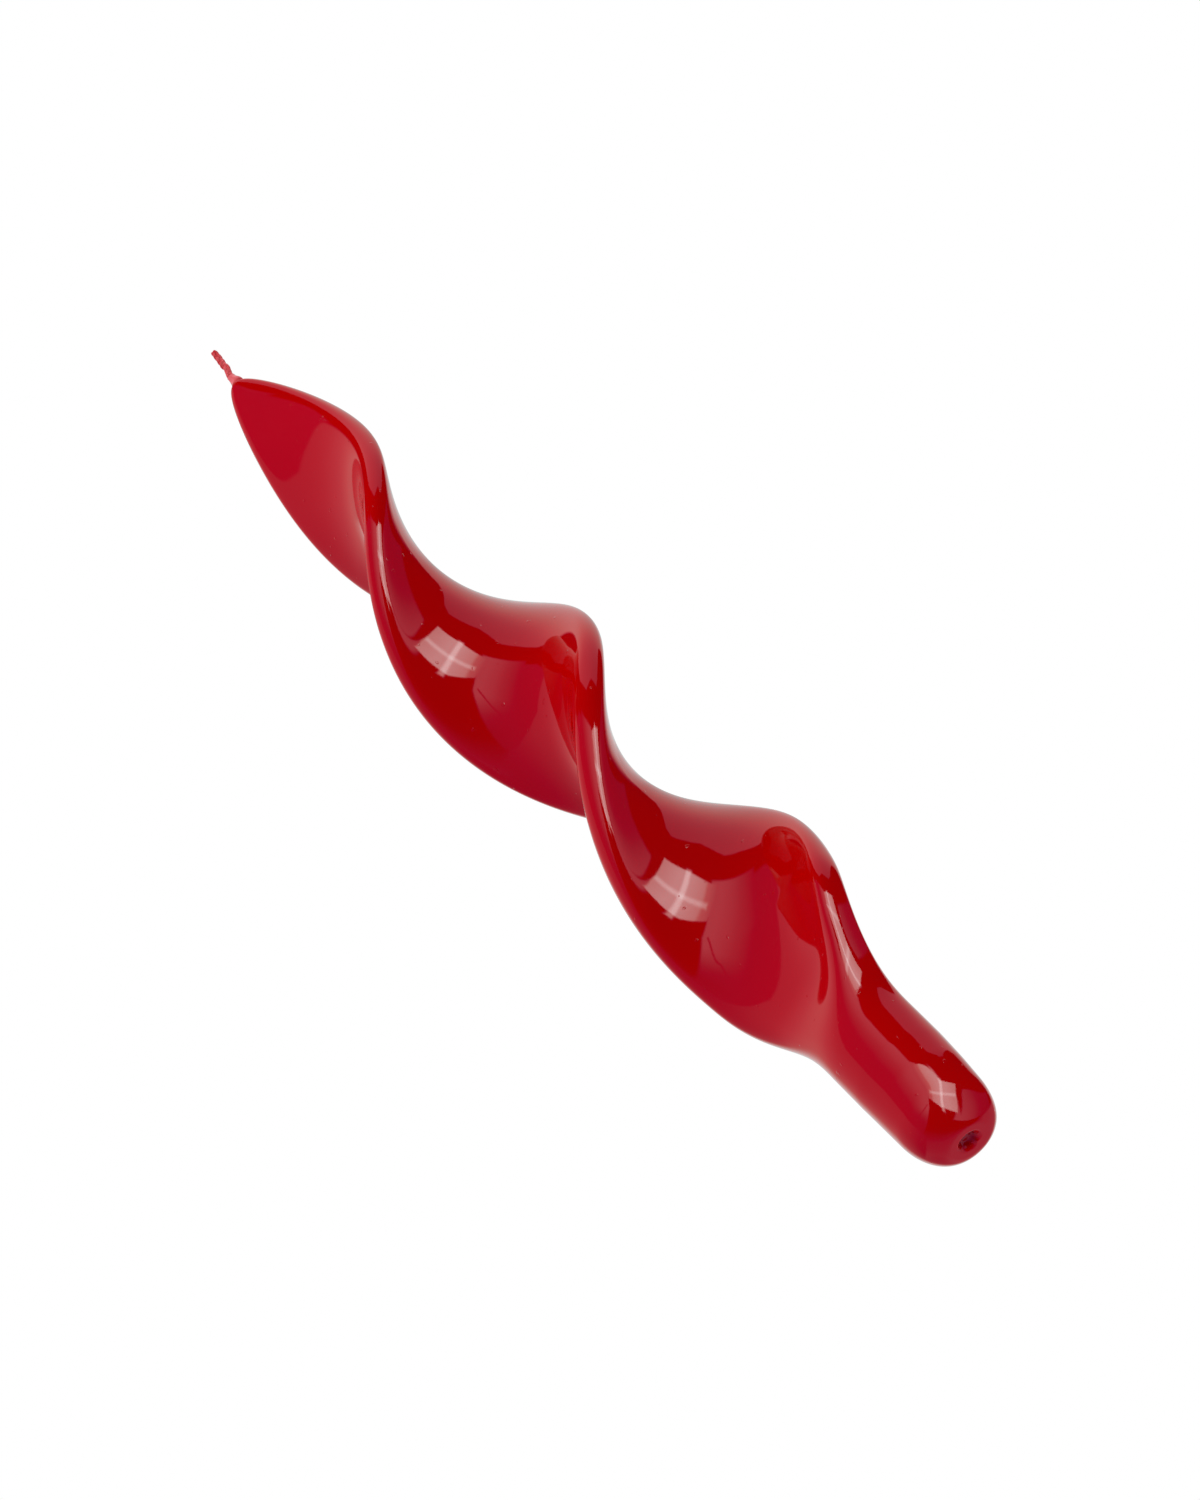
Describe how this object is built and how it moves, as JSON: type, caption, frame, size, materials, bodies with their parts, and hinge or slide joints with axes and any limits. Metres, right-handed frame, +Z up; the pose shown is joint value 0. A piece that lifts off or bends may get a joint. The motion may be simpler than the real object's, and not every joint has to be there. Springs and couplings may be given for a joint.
{
  "type": "twisted taper candle",
  "caption": "Hand-twisted dinner candle in gloss red lacquer: a round stem rolled flat into a right-handed spiral blade that draws in to a point at its plaited cotton wick.",
  "frame": {"origin": "centre of the foot, in the plane of its flat ring, where the stem stands in the socket of a candlestick", "axes": "+Z up along the candle from the foot to the wick; +X to the right in the picture's view with the wick up; +Y away from the viewer"},
  "size_m": [0.0458, 0.0441, 0.294],
  "materials": {
    "wax": "plain candle wax with a dull waxy surface, hidden under the lacquer",
    "lacquer": "mirror-gloss crimson candle lacquer, dipped, with faint ripples and a few specks of dust",
    "wick": "flat-plaited cotton soaked in red lacquer"
  },
  "bodies": {
    "root": {"wax_core": "wax", "lacquer_coat": "lacquer", "wick_strand_1": "wick", "wick_strand_2": "wick", "wick_strand_3": "wick"}
  },
  "joints": []
}
